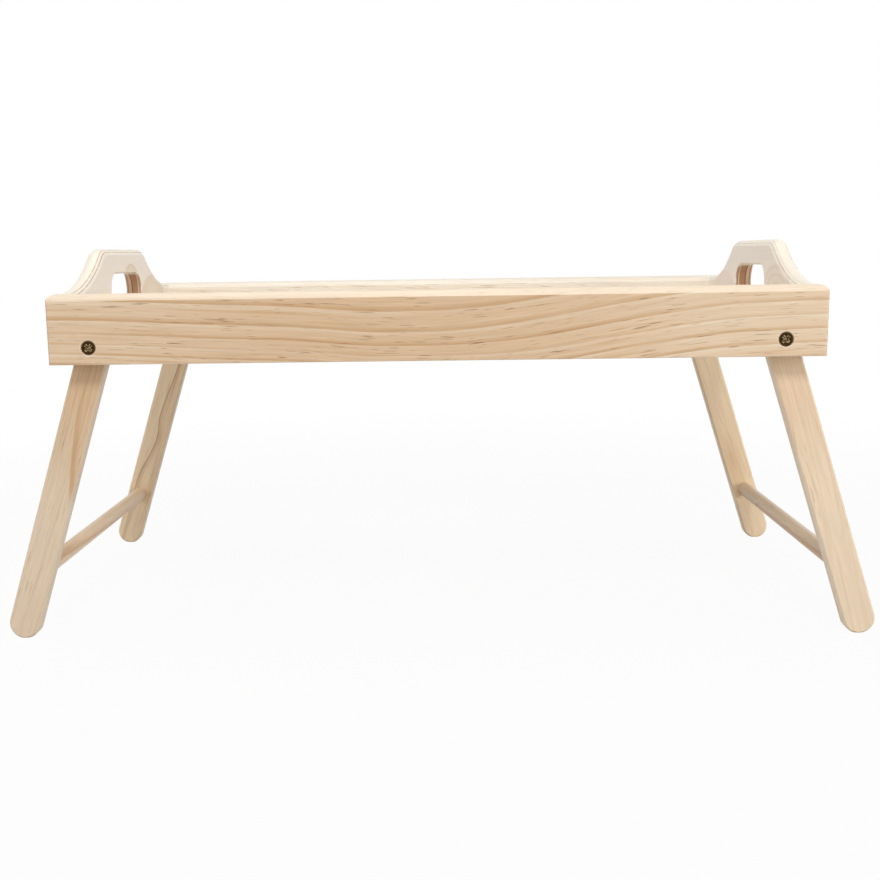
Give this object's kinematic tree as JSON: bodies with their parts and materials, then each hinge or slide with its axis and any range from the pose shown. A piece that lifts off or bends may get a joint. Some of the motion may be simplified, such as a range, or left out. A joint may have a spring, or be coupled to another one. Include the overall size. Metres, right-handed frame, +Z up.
{
  "type": "bed tray table",
  "caption": "Wooden bed tray table: a low-rimmed tray with raised ends and hand holes, on splayed leg frames that fold flat under it.",
  "frame": {"origin": "on the floor under the middle of the tray, between the open feet", "axes": "+X along the tray's length towards the right-hand end, +Y from the front rail to the back rail, +Z up"},
  "size_m": [0.5878, 0.3, 0.263],
  "materials": {
    "rail_pine": "satin clear lacquer over planed pine",
    "end_plywood": "satin clear lacquer over sanded birch plywood",
    "floor_plywood": "satin clear lacquer over thin plywood",
    "leg_pine": "satin clear lacquer over planed pine",
    "dowel_wood": "satin clear lacquer over a turned dowel",
    "screw_metal": "dark antique plating, brighter where it's rubbed"
  },
  "bodies": {
    "tray": {"front_rail": "rail_pine", "back_rail": "rail_pine", "left_end_panel": "end_plywood", "right_end_panel": "end_plywood", "tray_bottom": "floor_plywood"},
    "left_leg_frame": {"left_front_leg": "leg_pine", "left_back_leg": "leg_pine", "left_stretcher": "dowel_wood", "left_front_pivot_screw": "screw_metal", "left_back_pivot_screw": "screw_metal"},
    "right_leg_frame": {"right_front_leg": "leg_pine", "right_back_leg": "leg_pine", "right_stretcher": "dowel_wood", "right_front_pivot_screw": "screw_metal", "right_back_pivot_screw": "screw_metal"}
  },
  "joints": [
    {"name": "right_leg_fold", "type": "hinge", "parent": "tray", "child": "right_leg_frame", "pos_m": [0.2236, 0, 0.19948], "axis": [0, 1, 0], "range_deg": [0, 107.5]},
    {"name": "left_leg_fold", "type": "hinge", "parent": "tray", "child": "left_leg_frame", "pos_m": [-0.2236, 0, 0.19948], "axis": [0, -1, 0], "range_deg": [0, 107.5]}
  ]
}
